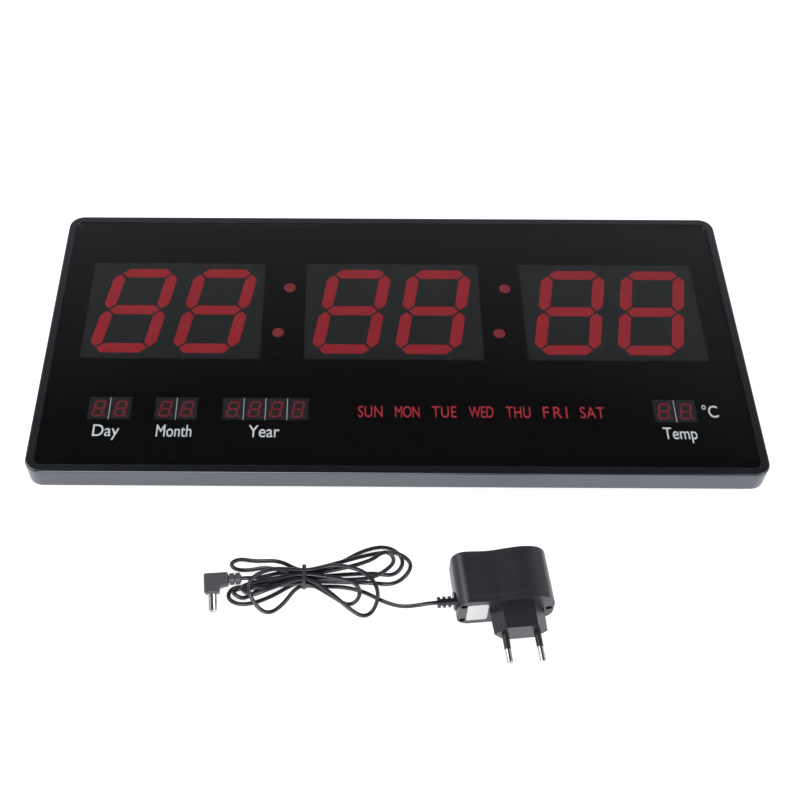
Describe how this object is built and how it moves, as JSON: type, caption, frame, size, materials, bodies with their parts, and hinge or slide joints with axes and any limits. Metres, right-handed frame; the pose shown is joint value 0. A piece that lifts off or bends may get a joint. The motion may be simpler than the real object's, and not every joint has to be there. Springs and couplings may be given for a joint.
{
  "type": "digital wall clock",
  "caption": "Flat rectangular LED wall clock with time, date, weekday and temperature digits, lying with its mains adapter, cord hank and plug.",
  "frame": {"origin": "centre of the clock's rectangular back, on the surface it lies on", "axes": "+Z out of the display, +Y towards the clock's top edge, +X to its right"},
  "size_m": [0.46, 0.3397, 0.0277],
  "materials": {
    "case_black": "glossy black moulding",
    "lens_smoked": "dark tinted sheet",
    "mask_black": "matt black print",
    "cover_black": "fine textured black moulding",
    "screw_steel": "zinc plated",
    "board_green": "printed circuit board",
    "module_face": "dark grey module face",
    "segment_red": "lit red segments",
    "small_module_face": "dark grey module face",
    "small_segment_red": "lit red segments",
    "lamp_red": "red tinted lamp",
    "light_box_white": "white moulding",
    "led_yellow": "chip LEDs",
    "chip_black": "moulded chip",
    "switch_black": "switch body",
    "button_grey": "dark grey button",
    "cell_steel": "stainless cell can",
    "capacitor_can": "sleeved can",
    "jack_black": "moulded inlet",
    "pin_metal": "nickel plated",
    "connector_white": "nylon connector",
    "wire_red": "wire insulation",
    "wire_black": "wire insulation",
    "adapter_black": "satin black moulding",
    "screw_black": "blackened screw",
    "label_white": "bare white label",
    "sleeve_black": "insulating sleeve",
    "transformer_yellow": "taped coil",
    "cord_black": "flexible black moulding",
    "tie_black": "coated wire tie",
    "plug_grey": "satin dark grey moulding"
  },
  "bodies": {
    "clock": {"front_frame": "case_black", "display_lens": "lens_smoked", "display_mask": "mask_black", "rear_cover": "cover_black", "case_screws": "screw_steel", "display_board": "board_green", "hours_module": "module_face", "minutes_module": "module_face", "seconds_module": "module_face", "hours_segments": "segment_red", "minutes_segments": "segment_red", "seconds_segments": "segment_red", "calendar_modules": "small_module_face", "temperature_modules": "small_module_face", "calendar_segments": "small_segment_red", "temperature_segments": "small_segment_red", "colon_lamps": "lamp_red", "weekday_light_box": "light_box_white", "weekday_leds": "led_yellow", "driver_chips": "chip_black", "control_board": "board_green", "board_screws": "screw_steel", "controller_chip": "chip_black", "clock_chip": "chip_black", "tact_switches": "switch_black", "cell_holder": "switch_black", "coin_cell": "cell_steel", "buzzer": "switch_black", "supply_capacitor": "capacitor_can", "board_header": "switch_black", "temperature_sensor": "chip_black", "jack_housing": "jack_black", "jack_pin": "pin_metal", "supply_plug": "connector_white", "positive_wire": "wire_red", "negative_wire": "wire_black"},
    "button_set": {"button_set": "button_grey"},
    "button_up": {"button_up": "button_grey"},
    "button_down": {"button_down": "button_grey"},
    "button_alarm": {"button_alarm": "button_grey"},
    "adapter": {"adapter_housing": "adapter_black", "adapter_front": "adapter_black", "adapter_screws": "screw_black", "adapter_label": "label_white", "adapter_pins": "pin_metal", "pin_sleeves": "sleeve_black", "adapter_board": "board_green", "adapter_transformer": "transformer_yellow", "adapter_capacitors": "capacitor_can", "mains_wires": "wire_black", "adapter_relief": "cord_black", "output_leads": "wire_black", "cord_to_adapter": "cord_black", "cord_hank": "cord_black", "cord_to_plug": "cord_black", "cord_tie": "tie_black", "plug_body": "plug_grey", "plug_barrel": "pin_metal", "plug_insulator": "sleeve_black"}
  },
  "joints": [
    {"name": "button_set_press", "type": "slide", "parent": "clock", "child": "button_set", "axis": [0, 0, 1], "range_m": [0, 0.0008], "stiffness_N_per_m": 400},
    {"name": "button_up_press", "type": "slide", "parent": "clock", "child": "button_up", "axis": [0, 0, 1], "range_m": [0, 0.0008], "stiffness_N_per_m": 400},
    {"name": "button_down_press", "type": "slide", "parent": "clock", "child": "button_down", "axis": [0, 0, 1], "range_m": [0, 0.0008], "stiffness_N_per_m": 400},
    {"name": "button_alarm_press", "type": "slide", "parent": "clock", "child": "button_alarm", "axis": [0, 0, 1], "range_m": [0, 0.0008], "stiffness_N_per_m": 400},
    {"name": "adapter_lift", "type": "slide", "parent": "clock", "child": "adapter", "axis": [0, 0, 1], "range_m": [0, 0.06]}
  ]
}
